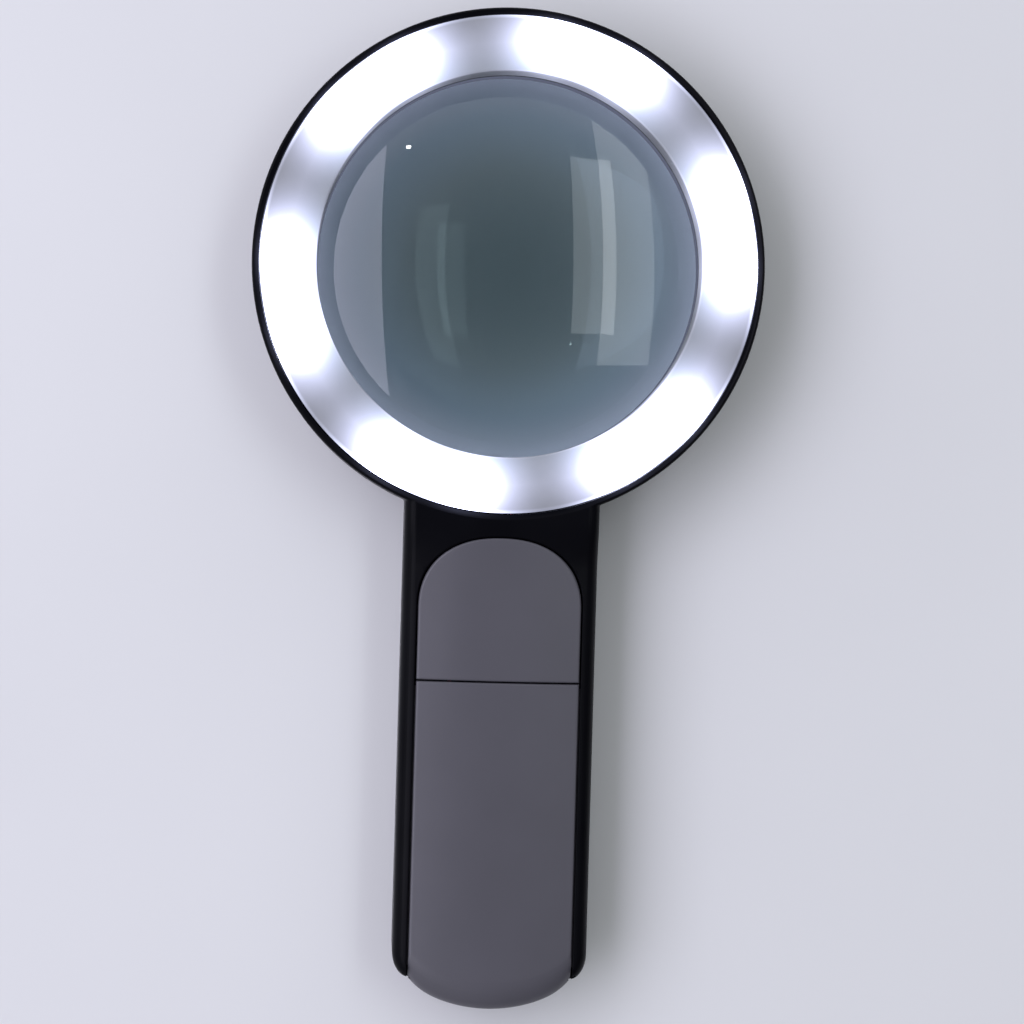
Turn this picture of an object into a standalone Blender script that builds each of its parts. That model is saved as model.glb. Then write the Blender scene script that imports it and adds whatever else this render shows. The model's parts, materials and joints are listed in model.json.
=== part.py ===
"""A hand-held low vision magnifier: a big lens in a ring of lights, on a flat battery handle.

It lies on its user side. +Z is the lens axis and points out of the light side, the handle runs
towards -Y, and the lowest face is at z = 0. Every length is in metres.
"""

import math

import bmesh
import bpy
from mathutils import Matrix

# Overall
HEAD_Y = 0.050
HEAD_RADIUS = 0.0525
HANDLE_HALF = 0.020
RAIL_END_Y = -0.0963
END_Y = -0.1025
TOP_Z = 0.0196
SPLIT_Z = 0.010
GAP = 0.0003
OVERCUT = 0.001
HEAD_SEGMENTS = 60

# Casing
HEAD_FILLET = 0.0012
HANDLE_FILLET = 0.0026
FILLET_DEPTHS = (0.0026, 0.0013, 0.0006, 0.00022, 0.0)
CORNER_ACROSS, CORNER_ALONG = 0.0035, 0.0061
WALL_X = 0.0185
CAVITY_END_Y, CAVITY_TOP_Y = -0.0936, -0.0040
BACK_FLOOR_Z = 0.0032
FRONT_ROOF_Z = 0.0165
BEZEL_Z = 0.0014
APERTURE = 0.0394
BACK_APERTURE = 0.0389
NEST_RADIUS = 0.0407
TROUGH_INNER, TROUGH_OUTER = 0.0422, 0.05105
TROUGH_FLOOR_Z = 0.01145
WALL_TOP_Z = 0.0182
LIP_Z = 0.01435
HEAD_WALL = 0.0015
PILLAR_RADIUS, COUNTERBORE = 0.0035, 0.0026
SINK = 0.0004
WIRE_SLOT_HALF, WIRE_SLOT_Y, WIRE_SLOT_Z = 0.0036, 0.0005, 0.0129

# Lens
LENS_RADIUS = 0.0404
LENS_CURVE = 0.140
LENS_EDGE = 0.0020
LENS_Z = 0.0116

# Lights
DIFFUSER_RADIUS = 0.0508
DIFFUSER_TOP_Z = 0.0200
DIFFUSER_THICK, DIFFUSER_EDGE = 0.0015, 0.0004
RIB_THICK, RIB_LOW_Z = 0.0011, 0.0155
LED_COUNT = 18
WARM_EVERY, WARM_FIRST = 3, 2
LED_RING = 0.0466
LED_SIZE = (0.0035, 0.0028, 0.0018)
BOARD_THICK = 0.0012
LED_BOARD_Z = 0.0133

# Panels and battery cover
PANEL_HALF = 0.01670
ARCH_TOP_Y, ARCH_HEIGHT, ARCH_POWER = -0.0059, 0.0145, 2.26
SEAM_Y = -0.0353
PANEL_Z = 0.0185
PLATE_Z = 0.0176
PANEL_EDGE = 0.0004
TONGUE_X, TONGUE_ROOT = 0.0176, 0.0015
TONGUE_TOP_Z = 0.0184
CAP_Z = 0.0005
CAP_START_Y = -0.0966
CAP_ARC = 0.0253
CAP_FILLET = 0.0030
BACK_PANEL_HALF = 0.0150
BACK_PANEL_TOP_Y, BACK_PANEL_END_Y = -0.0073, -0.0877
BACK_PANEL_Z, BACK_PANEL_THICK, BACK_PANEL_CORNER = 0.0008, 0.0007, 0.006

# Switch and control board
BUTTON_Y = -0.020
BUTTON_RADIUS, BUTTON_Z = 0.0063, 0.0002
BUTTON_HOLE = BUTTON_RADIUS + 0.0005
BUTTON_EDGE, DISH_RADIUS, DISH_DEPTH = 0.0005, 0.0035, 0.0004
FLANGE_RADIUS, FLANGE_Z, FLANGE_THICK = 0.0080, 0.0035, 0.0007
PLUNGER_RADIUS, PLUNGER_Z, PLUNGER_LENGTH = 0.00175, 0.0045, 0.0019
SWITCH_SIDE, SWITCH_Z, SWITCH_HEIGHT = 0.0062, 0.0052, 0.0035
CONTROL_Z = 0.0090
CONTROL_HALF, CONTROL_LOW_Y, CONTROL_HIGH_Y = 0.0100, -0.0310, -0.0090
POST_X, POST_YS, POST_RADIUS = 0.0080, (-0.0120, -0.0280), 0.0015
CHIP_Y, CHIP_HALF_X, CHIP_HALF_Y, CHIP_HEIGHT = -0.0210, 0.0025, 0.0020, 0.0015
RESISTOR_X, RESISTOR_Y = 0.0050, -0.0147
RESISTOR_HALF_X, RESISTOR_HALF_Y, RESISTOR_HEIGHT = 0.0016, 0.0008, 0.0006

# Batteries, size AAA
CELL_PITCH, CELL_RADIUS, CELL_LENGTH = 0.0110, 0.00525, 0.0445
TRAY_HALF, TRAY_WALL, TRAY_END = 0.0177, 0.0009, 0.0010
TRAY_LOW_Y, TRAY_HIGH_Y = -0.0932, -0.0396
TRAY_Z, TRAY_TOP_Z = 0.0035, 0.0130
CELL_Z = TRAY_Z + TRAY_WALL + GAP + CELL_RADIUS
NUB_LENGTH, NUB_RADIUS, SHOULDER = 0.0008, 0.0019, 0.0005
CONTACT_THICK, CONTACT_REACH, SOLDER_TAB = 0.0004, 0.0047, 0.0018
SPRING_WIRE, SPRING_TURNS, SPRING_LENGTH = 0.0003, 4, 0.0051
SPRING_WIDE, SPRING_NARROW = 0.0036, 0.0022

# Fasteners and wires
BOSS_RADIUS, SCREW_HOLE = 0.0026, 0.0013
SCREW_HEAD, SCREW_SHANK, SCREW_TIP = 0.0022, 0.0010, 0.0004
SCREW_HEAD_HEIGHT, SCREW_DOME, SCREW_POINT, SCREW_LENGTH = 0.0012, 0.0005, 0.0008, 0.0080
HANDLE_PILOT_Z, HEAD_PILOT_Z = 0.0042, 0.0032
HANDLE_SCREW = (0.0139, -0.0310)
HANDLE_SCREW_Z, HEAD_SCREW_Z = 0.0127, 0.01175
HEAD_SCREW_ANGLES = (40, 140)
HEAD_SCREW_RING = 0.0463
WIRE_RADIUS = 0.0004


def clear_scene():
    for old in list(bpy.data.objects):
        bpy.data.objects.remove(old, do_unlink=True)


def new_collection(name):
    made = bpy.data.collections.new(name)
    bpy.context.scene.collection.children.link(made)
    return made


def material(name, colour, roughness, metallic=0.0, transmission=0.0, glow=0.0):
    made = bpy.data.materials.new(name)
    made.use_nodes = True
    shader = made.node_tree.nodes["Principled BSDF"].inputs
    shader["Base Color"].default_value = (*colour, 1)
    shader["Roughness"].default_value = roughness
    shader["Metallic"].default_value = metallic
    shader["Transmission Weight"].default_value = transmission
    shader["Emission Color"].default_value = (*colour, 1)
    shader["Emission Strength"].default_value = glow
    return made


clear_scene()
PARTS = new_collection("low_vision_magnifier")
CUTTERS = new_collection("cutters")
BLACK = material("black_plastic", (0.012, 0.012, 0.016), 0.35)
GREY = material("grey_plastic", (0.09, 0.088, 0.11), 0.45)
BACK_GREY = material("back_grey_plastic", (0.09, 0.088, 0.11), 0.45)
BUTTON = material("button_plastic", (0.05, 0.05, 0.06), 0.4)
WHITE = material("diffuser_plastic", (0.95, 0.96, 1.0), 0.5, glow=2.0)
CLEAR = material("lens_acrylic", (0.75, 0.85, 0.88), 0.03, transmission=1.0)
GASKET = material("retaining_ring", (0.03, 0.03, 0.035), 0.4)
BOARD = material("circuit_board", (0.85, 0.87, 0.85), 0.4)
GREEN_BOARD = material("control_circuit_board", (0.02, 0.16, 0.07), 0.4)
COOL = material("cool_led", (0.95, 0.97, 1.0), 0.3, glow=8.0)
WARM = material("warm_led", (0.95, 0.80, 0.35), 0.3)
CHIP = material("chip_plastic", (0.01, 0.01, 0.012), 0.5)
CELL = material("battery_sleeve", (0.03, 0.12, 0.30), 0.3)
STEEL = material("nickel_steel", (0.62, 0.61, 0.58), 0.25, metallic=1.0)
TRAY = material("battery_tray_plastic", (0.02, 0.02, 0.024), 0.5)
RED_WIRE = material("red_wire", (0.55, 0.02, 0.02), 0.4)
BLACK_WIRE = material("black_wire", (0.01, 0.01, 0.01), 0.4)
WHITE_WIRE = material("white_wire", (0.8, 0.8, 0.8), 0.4)


def place(name, mesh, finish, smooth_angle=35):
    """An object of this mesh. A finish puts it among the parts, and None among the cutters."""
    made = bpy.data.objects.new(name, mesh)
    if finish is None:
        CUTTERS.objects.link(made)
        made.hide_render = True
        made.display_type = "WIRE"
        return made
    PARTS.objects.link(made)
    if not mesh.materials:
        mesh.materials.append(finish)
    mesh.shade_smooth()
    mesh.set_sharp_from_angle(angle=math.radians(smooth_angle))
    return made


def from_bmesh(name, bm, finish):
    bmesh.ops.recalc_face_normals(bm, faces=bm.faces)
    mesh = bpy.data.meshes.new(name)
    bm.to_mesh(mesh)
    bm.free()
    return place(name, mesh, finish)


def add_box(bm, low, high):
    size = [high[i] - low[i] for i in range(3)]
    middle = [(high[i] + low[i]) / 2 for i in range(3)]
    bmesh.ops.create_cube(bm, size=1, matrix=Matrix.Translation(middle) @ Matrix.Diagonal((*size, 1)))


def add_cylinder(bm, x, y, radius, low_z, high_z, segments=24):
    bmesh.ops.create_cone(
        bm, cap_ends=True, segments=segments, radius1=radius, radius2=radius,
        depth=high_z - low_z, matrix=Matrix.Translation((x, y, (low_z + high_z) / 2)),
    )


def box(name, low, high, finish):
    bm = bmesh.new()
    add_box(bm, low, high)
    return from_bmesh(name, bm, finish)


def side_boxes(name, inner_x, outer_x, span_y, span_z):
    """A mirrored pair of boxes, to cut or to join, one on each side of the handle."""
    bm = bmesh.new()
    add_box(bm, (inner_x, span_y[0], span_z[0]), (outer_x, span_y[1], span_z[1]))
    add_box(bm, (-outer_x, span_y[0], span_z[0]), (-inner_x, span_y[1], span_z[1]))
    return from_bmesh(name, bm, None)


def cylinders(name, finish, *rows):
    bm = bmesh.new()
    for row in rows:
        add_cylinder(bm, *row)
    return from_bmesh(name, bm, finish)


def turned(name, profile, centre, finish, segments=HEAD_SEGMENTS, closed=True):
    """A profile of (radius, z), down its outer side, screwed round the vertical line at centre."""
    ends = [(i, i + 1) for i in range(len(profile) - 1)]
    if closed:
        ends.append((len(profile) - 1, 0))
    mesh = bpy.data.meshes.new(name)
    mesh.from_pydata([(radius, 0, z) for radius, z in profile], ends, [])
    made = place(name, mesh, finish)
    made.location = centre
    screw = made.modifiers.new("turn", "SCREW")
    screw.steps = screw.render_steps = segments
    screw.use_merge_vertices = True
    screw.merge_threshold = 0.00001
    screw.use_smooth_shade = True
    return made


def loft(name, sections, finish):
    """A closed solid through outlines of as many points each, anticlockwise and lowest first."""
    bm = bmesh.new()
    rings = [[bm.verts.new(point) for point in section] for section in sections]
    for low, high in zip(rings, rings[1:]):
        for i in range(len(low)):
            j = (i + 1) % len(low)
            bm.faces.new((low[i], low[j], high[j], high[i]))
    bm.faces.new(reversed(rings[0]))
    bm.faces.new(rings[-1])
    return from_bmesh(name, bm, finish)


def combine(target, other, operation="DIFFERENCE", solver="EXACT"):
    step = target.modifiers.new(other.name, "BOOLEAN")
    step.operation = operation
    step.solver = solver
    step.object = other


def fillet_inset(radius, depth):
    """How far a rounded edge has drawn in, this deep under the face that it runs into."""
    return radius - math.sqrt(radius**2 - max(radius - depth, 0) ** 2)


def casing_section(z, depth):
    """The casing's outline at height z, which is this deep under its outer face."""
    head, handle = fillet_inset(HEAD_FILLET, depth), fillet_inset(HANDLE_FILLET, depth)
    return raised(casing_outline(head, handle), z)


def arc_points(centre, across, along, start, end, steps):
    """Points on an ellipse's arc, both ends among them, with angles in degrees."""
    angles = [math.radians(start + (end - start) * i / steps) for i in range(steps + 1)]
    return [(centre[0] + across * math.cos(a), centre[1] + along * math.sin(a)) for a in angles]


def raised(outline, z):
    return [(x, y, z) for x, y in outline]


def casing_outline(head_inset, handle_inset):
    """Head circle, neck and handle as one outline, drawn in from full size."""
    radius = HEAD_RADIUS - head_inset
    half = HANDLE_HALF - handle_inset
    across, along = CORNER_ACROSS - handle_inset, CORNER_ALONG - handle_inset
    neck = math.degrees(math.asin(half / radius))
    points = arc_points((0, HEAD_Y), radius, radius, neck - 90, 270 - neck, HEAD_SEGMENTS)
    corner_y = RAIL_END_Y + CORNER_ALONG
    points += arc_points((across - half, corner_y), across, along, 180, 270, 6)
    points += arc_points((half - across, corner_y), across, along, 270, 360, 6)
    return points


def arch_outline(half, top_y, low_y, steps=24):
    """A panel with a rounded arch at its upper end and a straight lower edge."""
    points = [(half, low_y)]
    for i in range(steps + 1):
        angle = math.pi * i / steps
        side, rise = math.cos(angle), math.sin(angle)
        x = half * math.copysign(abs(side) ** (2 / ARCH_POWER), side)
        points.append((x, top_y - ARCH_HEIGHT + ARCH_HEIGHT * abs(rise) ** (2 / ARCH_POWER)))
    return points + [(-half, low_y)]


def cover_outline(side_inset, end_inset):
    """The battery cover from above: straight sides, and an arc for its end."""
    half = PANEL_HALF - side_inset
    radius = CAP_ARC - end_inset
    sweep = math.degrees(math.asin(half / radius))
    high_y = SEAM_Y - GAP / 2 - side_inset
    centre = (0, END_Y + CAP_ARC)
    end = arc_points(centre, radius, radius, 270 - sweep, 270 + sweep, 16)
    return [(half, high_y), (-half, high_y)] + end


def back_panel_outline(outset):
    """The user side's panel, or its recess, grown by outset: an arch above and round corners below."""
    half, end_y, corner = BACK_PANEL_HALF + outset, BACK_PANEL_END_Y - outset, BACK_PANEL_CORNER
    arch = arch_outline(half, BACK_PANEL_TOP_Y + outset, end_y)[1:-1]
    left = arc_points((corner - half, end_y + corner), corner, corner, 180, 270, 6)
    right = arc_points((half - corner, end_y + corner), corner, corner, 270, 360, 6)
    return arch + left + right


def make_front_shell():
    sections = [casing_section(TOP_Z - depth, depth) for depth in FILLET_DEPTHS]
    sections.insert(0, raised(casing_outline(0, 0), SPLIT_Z + GAP / 2))
    shell = loft("front_shell", sections, BLACK)
    over, under = TOP_Z + OVERCUT, SPLIT_Z - OVERCUT
    cavity = (-WALL_X, CAVITY_END_Y, under), (WALL_X, CAVITY_TOP_Y, FRONT_ROOF_Z)
    combine(shell, box("front_cavity", *cavity, None))
    opening = PANEL_HALF + GAP
    low_y, high_y = RAIL_END_Y - OVERCUT, SEAM_Y + 2 * GAP
    groove_y, groove_z = (low_y - OVERCUT, SEAM_Y), (PLATE_Z - GAP, TONGUE_TOP_Z + GAP)
    combine(shell, side_boxes("cover_grooves", opening - OVERCUT, TONGUE_X + GAP, groove_y, groove_z))
    x, y = HANDLE_SCREW
    pillar = (PILLAR_RADIUS, SPLIT_Z + GAP / 2, FRONT_ROOF_Z + SINK)
    combine(shell, cylinders("screw_pillars", None, (x, y, *pillar), (-x, y, *pillar)), "UNION")
    well = [
        (0, over), (TROUGH_OUTER, over), (TROUGH_OUTER, TROUGH_FLOOR_Z), (TROUGH_INNER, TROUGH_FLOOR_Z),
        (TROUGH_INNER, WALL_TOP_Z), (APERTURE, WALL_TOP_Z), (APERTURE, LIP_Z), (NEST_RADIUS, LIP_Z),
        (NEST_RADIUS, under), (0, under),
    ]
    combine(shell, turned("lens_well", well, (0, HEAD_Y, 0), None, closed=False))
    recess = arch_outline(PANEL_HALF + GAP, ARCH_TOP_Y + GAP, SEAM_Y + GAP)
    combine(shell, loft("panel_recess", [raised(recess, WALL_TOP_Z), raised(recess, over)], None))
    under_cover = (-opening, low_y, FRONT_ROOF_Z - GAP / 3), (opening, high_y, over)
    combine(shell, box("cover_opening", *under_cover, None), solver="MANIFOLD")
    counterbore = (COUNTERBORE, HANDLE_SCREW_Z - GAP, over)
    combine(shell, cylinders("counterbores", None, (x, y, *counterbore), (-x, y, *counterbore)))
    in_handle = (SCREW_HOLE, under, HANDLE_SCREW_Z)
    in_head = (SCREW_HOLE, under, TROUGH_FLOOR_Z + OVERCUT)
    holes = [(x, y, *in_handle), (-x, y, *in_handle)]
    holes += [(*head_screw_place(angle), *in_head) for angle in HEAD_SCREW_ANGLES]
    combine(shell, cylinders("front_screw_holes", None, *holes))
    slot = (-WIRE_SLOT_HALF, CAVITY_TOP_Y - OVERCUT, under), (WIRE_SLOT_HALF, WIRE_SLOT_Y, WIRE_SLOT_Z)
    combine(shell, box("wire_slot", *slot, None))


def head_screw_place(angle):
    turn = math.radians(angle)
    return HEAD_SCREW_RING * math.cos(turn), HEAD_Y + HEAD_SCREW_RING * math.sin(turn)


def make_back_shell():
    sections = [casing_section(depth, depth) for depth in reversed(FILLET_DEPTHS)]
    sections.append(raised(casing_outline(0, 0), SPLIT_Z - GAP / 2))
    shell = loft("back_shell", sections, BLACK)
    over, under = SPLIT_Z + OVERCUT, -OVERCUT
    aperture = [(0, over), (BACK_APERTURE, over), (BACK_APERTURE, under), (0, under)]
    combine(shell, turned("back_aperture", aperture, (0, HEAD_Y, 0), None, closed=False))
    outer, inner = HEAD_RADIUS - HEAD_WALL, BACK_APERTURE + HEAD_WALL
    hollow = [(outer, over), (outer, BEZEL_Z), (inner, BEZEL_Z), (inner, over)]
    combine(shell, turned("head_hollow", hollow, (0, HEAD_Y, 0), None))
    cavity = (-WALL_X, CAVITY_END_Y, BACK_FLOOR_Z), (WALL_X, CAVITY_TOP_Y, over)
    combine(shell, box("back_cavity", *cavity, None))
    recess, roof = back_panel_outline(GAP), BACK_PANEL_Z + BACK_PANEL_THICK + GAP
    combine(shell, loft("back_recess", [raised(recess, under), raised(recess, roof)], None))
    boss_top, handle_low = SPLIT_Z - GAP, BACK_FLOOR_Z - SINK
    x, y = HANDLE_SCREW
    head_boss, handle_boss = (BOSS_RADIUS, BEZEL_Z - SINK, boss_top), (BOSS_RADIUS, handle_low, boss_top)
    post = (POST_RADIUS, handle_low, CONTROL_Z - GAP)
    bosses = [(*head_screw_place(angle), *head_boss) for angle in HEAD_SCREW_ANGLES]
    bosses += [(side * x, y, *handle_boss) for side in (-1, 1)]
    bosses += [(side * POST_X, post_y, *post) for side in (-1, 1) for post_y in POST_YS]
    combine(shell, cylinders("back_bosses", None, *bosses), "UNION")
    holes = [(side * x, y, SCREW_HOLE, HANDLE_PILOT_Z, over) for side in (-1, 1)]
    holes += [(*head_screw_place(angle), SCREW_HOLE, HEAD_PILOT_Z, over) for angle in HEAD_SCREW_ANGLES]
    holes.append((0, BUTTON_Y, BUTTON_HOLE, under, BACK_FLOOR_Z + OVERCUT, 32))
    combine(shell, cylinders("back_holes", None, *holes))


def make_lens():
    def side(radius):
        sag = LENS_CURVE - math.sqrt(LENS_CURVE**2 - LENS_RADIUS**2)
        return LENS_EDGE / 2 + sag - (LENS_CURVE - math.sqrt(LENS_CURVE**2 - radius**2))

    rings = 6
    radii = [LENS_RADIUS * i / rings for i in range(rings + 1)]
    profile = [(r, side(r)) for r in radii] + [(r, -side(r)) for r in reversed(radii)]
    turned("lens", profile, (0, HEAD_Y, LENS_Z), CLEAR, closed=False)
    outer, low, high = NEST_RADIUS - GAP, LENS_Z + side(APERTURE) + GAP, LIP_Z - GAP
    ring = [(outer, high), (outer, low), (APERTURE, low), (APERTURE, high)]
    turned("lens_retaining_ring", ring, (0, HEAD_Y, 0), GASKET)


def make_diffuser():
    edge, outer, top = DIFFUSER_EDGE, DIFFUSER_RADIUS, DIFFUSER_TOP_Z
    inner_rib, under, seat = TROUGH_INNER + GAP, top - DIFFUSER_THICK, WALL_TOP_Z + GAP
    profile = [
        (outer - edge, top), (outer, top - edge), (outer, RIB_LOW_Z), (outer - RIB_THICK, RIB_LOW_Z),
        (outer - RIB_THICK, under), (inner_rib + RIB_THICK, under), (inner_rib + RIB_THICK, RIB_LOW_Z),
        (inner_rib, RIB_LOW_Z), (inner_rib, seat), (APERTURE, seat), (APERTURE, top - edge),
        (APERTURE + edge, top),
    ]
    turned("diffuser_ring", profile, (0, HEAD_Y, 0), WHITE)


def make_lights():
    inner, outer = TROUGH_INNER + GAP, TROUGH_OUTER - GAP
    low, high = LED_BOARD_Z, LED_BOARD_Z + BOARD_THICK
    turned("led_board", [(outer, high), (outer, low), (inner, low), (inner, high)], (0, HEAD_Y, 0), BOARD)
    counts = {"cool": 0, "warm": 0}
    for i in range(LED_COUNT):
        kind = "warm" if i % WARM_EVERY == WARM_FIRST else "cool"
        counts[kind] += 1
        finish = COOL if kind == "cool" else WARM
        make_led(f"led_{kind}_{counts[kind]:02d}", math.tau * i / LED_COUNT, finish)


def make_led(name, angle, finish):
    x, y, z = LED_SIZE
    low = LED_BOARD_Z + BOARD_THICK + GAP
    led = box(name, (-x / 2, -y / 2, low), (x / 2, y / 2, low + z), finish)
    led.location = (LED_RING * math.cos(angle), HEAD_Y + LED_RING * math.sin(angle), 0)
    led.rotation_euler.z = angle


def make_front_panel():
    low_y = SEAM_Y + GAP / 2
    full = arch_outline(PANEL_HALF, ARCH_TOP_Y, low_y)
    drawn_in = arch_outline(PANEL_HALF - PANEL_EDGE, ARCH_TOP_Y - PANEL_EDGE, low_y + PANEL_EDGE)
    sections = [raised(full, PANEL_Z), raised(full, TOP_Z - PANEL_EDGE), raised(drawn_in, TOP_Z)]
    loft("front_panel", sections, GREY)


def make_battery_cover():
    depths = (0, PANEL_EDGE, CAP_FILLET * 0.4, CAP_FILLET)
    levels = [(CAP_Z + depth, depth) for depth in depths]
    levels += [(TOP_Z - depth, depth) for depth in reversed(depths)]
    sections = []
    for z, depth in levels:
        outline = cover_outline(fillet_inset(PANEL_EDGE, depth), fillet_inset(CAP_FILLET, depth))
        sections.append(raised(outline, z))
    cover = loft("battery_cover", sections, GREY)
    half = PANEL_HALF + OVERCUT
    underside = (-half, CAP_START_Y, -OVERCUT), (half, SEAM_Y + OVERCUT, PLATE_Z)
    combine(cover, box("cover_underside", *underside, None))
    tongue_y, tongue_z = (CAP_START_Y + OVERCUT, SEAM_Y - OVERCUT), (PLATE_Z + GAP / 3, TONGUE_TOP_Z)
    tongues = side_boxes("cover_tongues", PANEL_HALF - TONGUE_ROOT, TONGUE_X, tongue_y, tongue_z)
    combine(cover, tongues, "UNION")


def make_back_panel():
    high = BACK_PANEL_Z + BACK_PANEL_THICK
    sections = [raised(back_panel_outline(0), BACK_PANEL_Z), raised(back_panel_outline(0), high)]
    panel = loft("back_panel", sections, BACK_GREY)
    hole = (0, BUTTON_Y, BUTTON_HOLE, BACK_PANEL_Z - OVERCUT, high + OVERCUT, 32)
    combine(panel, cylinders("button_hole", None, hole))


def make_switch():
    flange_top = FLANGE_Z + FLANGE_THICK
    button = [
        (0, flange_top), (FLANGE_RADIUS, flange_top), (FLANGE_RADIUS, FLANGE_Z), (BUTTON_RADIUS, FLANGE_Z),
        (BUTTON_RADIUS, BUTTON_Z + BUTTON_EDGE), (BUTTON_RADIUS - BUTTON_EDGE, BUTTON_Z),
        (DISH_RADIUS, BUTTON_Z + DISH_DEPTH * 0.75), (0, BUTTON_Z + DISH_DEPTH),
    ]
    turned("power_button", button, (0, BUTTON_Y, 0), BUTTON, segments=32, closed=False)
    plunger_top = PLUNGER_Z + PLUNGER_LENGTH
    cylinders("switch_plunger", BUTTON, (0, BUTTON_Y, PLUNGER_RADIUS, PLUNGER_Z, plunger_top, 16))
    half = SWITCH_SIDE / 2
    low, high = (-half, BUTTON_Y - half, SWITCH_Z), (half, BUTTON_Y + half, SWITCH_Z + SWITCH_HEIGHT)
    body = box("switch_body", low, high, CHIP)
    bore = (0, BUTTON_Y, PLUNGER_RADIUS + GAP, SWITCH_Z - OVERCUT, plunger_top + OVERCUT, 16)
    combine(body, cylinders("switch_bore", None, bore))


def make_control_board():
    top = CONTROL_Z + BOARD_THICK
    low = (-CONTROL_HALF, CONTROL_LOW_Y, CONTROL_Z)
    box("control_board", low, (CONTROL_HALF, CONTROL_HIGH_Y, top), GREEN_BOARD)
    chip = (CHIP_HALF_X, CHIP_HALF_Y, CHIP_HEIGHT)
    resistor = (RESISTOR_HALF_X, RESISTOR_HALF_Y, RESISTOR_HEIGHT)
    rows = (
        ("driver_chip", 0, CHIP_Y, chip),
        ("resistor_1", -RESISTOR_X, RESISTOR_Y, resistor),
        ("resistor_2", RESISTOR_X, RESISTOR_Y, resistor),
    )
    for name, x, y, (half_x, half_y, height) in rows:
        corner = (x - half_x, y - half_y, top + GAP)
        box(name, corner, (x + half_x, y + half_y, top + GAP + height), CHIP)


def make_battery_tray():
    low = (-TRAY_HALF, TRAY_LOW_Y, TRAY_Z)
    tray = box("battery_tray", low, (TRAY_HALF, TRAY_HIGH_Y, TRAY_TOP_Z), TRAY)
    inner = TRAY_HALF - TRAY_WALL
    inner_low = (-inner, TRAY_LOW_Y + TRAY_END, TRAY_Z + TRAY_WALL)
    inner_high = (inner, TRAY_HIGH_Y - TRAY_END, TRAY_TOP_Z + OVERCUT)
    combine(tray, box("tray_hollow", inner_low, inner_high, None))


def make_cell(number, x, plus_up):
    """One AAA cell. plus_up turns its positive end towards the head."""
    spring_room = SPRING_LENGTH + 2 * GAP
    inner_low = TRAY_LOW_Y + TRAY_END + GAP + CONTACT_THICK
    inner_high = TRAY_HIGH_Y - TRAY_END - GAP - CONTACT_THICK
    case = CELL_LENGTH - NUB_LENGTH
    profile = [
        (0, CELL_LENGTH), (NUB_RADIUS, CELL_LENGTH), (NUB_RADIUS, case), (CELL_RADIUS - SHOULDER, case),
        (CELL_RADIUS, case - SHOULDER), (CELL_RADIUS, SHOULDER), (CELL_RADIUS - SHOULDER, 0), (0, 0),
    ]
    base_y = inner_low + spring_room if plus_up else inner_high - spring_room
    cell = turned(f"battery_{number}", profile, (x, base_y, CELL_Z), CELL, segments=24, closed=False)
    cell.rotation_euler.x = math.radians(-90 if plus_up else 90)
    towards_cell = 1 if plus_up else -1
    plate_y = inner_low if plus_up else inner_high
    make_spring(number, x, plate_y + towards_cell * GAP, towards_cell)


def make_spring(number, x, start_y, direction):
    """A cone of wire from its contact plate to the flat end of a cell."""
    per_turn = 10
    count = SPRING_TURNS * per_turn
    length = SPRING_LENGTH - 2 * SPRING_WIRE
    points = []
    for i in range(count + 1):
        share = i / count
        radius = SPRING_WIDE + (SPRING_NARROW - SPRING_WIDE) * share
        turn = math.tau * i / per_turn
        along = start_y + direction * (SPRING_WIRE + length * share)
        points.append((x + radius * math.cos(turn), along, CELL_Z + radius * math.sin(turn)))
    wire(f"battery_spring_{number}", points, SPRING_WIRE, STEEL, resolution=1)


def wire(name, points, radius, finish, resolution=2):
    curve = bpy.data.curves.new(name, "CURVE")
    curve.dimensions = "3D"
    curve.bevel_depth = radius
    curve.bevel_resolution = resolution
    curve.use_fill_caps = True
    spline = curve.splines.new("POLY")
    spline.points.add(len(points) - 1)
    for point, place_on in zip(spline.points, points):
        point.co = (*place_on, 1)
    curve.materials.append(finish)
    PARTS.objects.link(bpy.data.objects.new(name, curve))


def make_contacts():
    """Plates at the two ends of the tray, which put the three cells in series."""
    low_y = TRAY_LOW_Y + TRAY_END + GAP
    high_y = TRAY_HIGH_Y - TRAY_END - GAP - CONTACT_THICK
    tab_top = TRAY_TOP_Z + SOLDER_TAB
    rows = (
        ("positive_terminal_plate", -CELL_PITCH, -CELL_PITCH, high_y, tab_top),
        ("head_end_bridge_plate", 0, CELL_PITCH, high_y, TRAY_TOP_Z),
        ("handle_end_bridge_plate", -CELL_PITCH, 0, low_y, TRAY_TOP_Z),
        ("negative_terminal_plate", CELL_PITCH, CELL_PITCH, low_y, tab_top),
    )
    for name, first_x, last_x, y, top in rows:
        low = (first_x - CONTACT_REACH, y, TRAY_Z + TRAY_WALL + GAP)
        box(name, low, (last_x + CONTACT_REACH, y + CONTACT_THICK, top), STEEL)


def make_batteries():
    make_battery_tray()
    make_contacts()
    for number, x, plus_up in ((1, -CELL_PITCH, True), (2, 0, False), (3, CELL_PITCH, True)):
        make_cell(number, x, plus_up)


def make_screw(number, x, y, seat_z):
    head_top, tip = seat_z + SCREW_HEAD_HEIGHT, seat_z - SCREW_LENGTH
    profile = [
        (0, head_top), (SCREW_HEAD - SCREW_DOME, head_top), (SCREW_HEAD, head_top - SCREW_DOME),
        (SCREW_HEAD, seat_z), (SCREW_SHANK, seat_z), (SCREW_SHANK, tip + SCREW_POINT), (SCREW_TIP, tip),
        (0, tip),
    ]
    turned(f"shell_screw_{number}", profile, (x, y, 0), STEEL, segments=14, closed=False)


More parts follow.
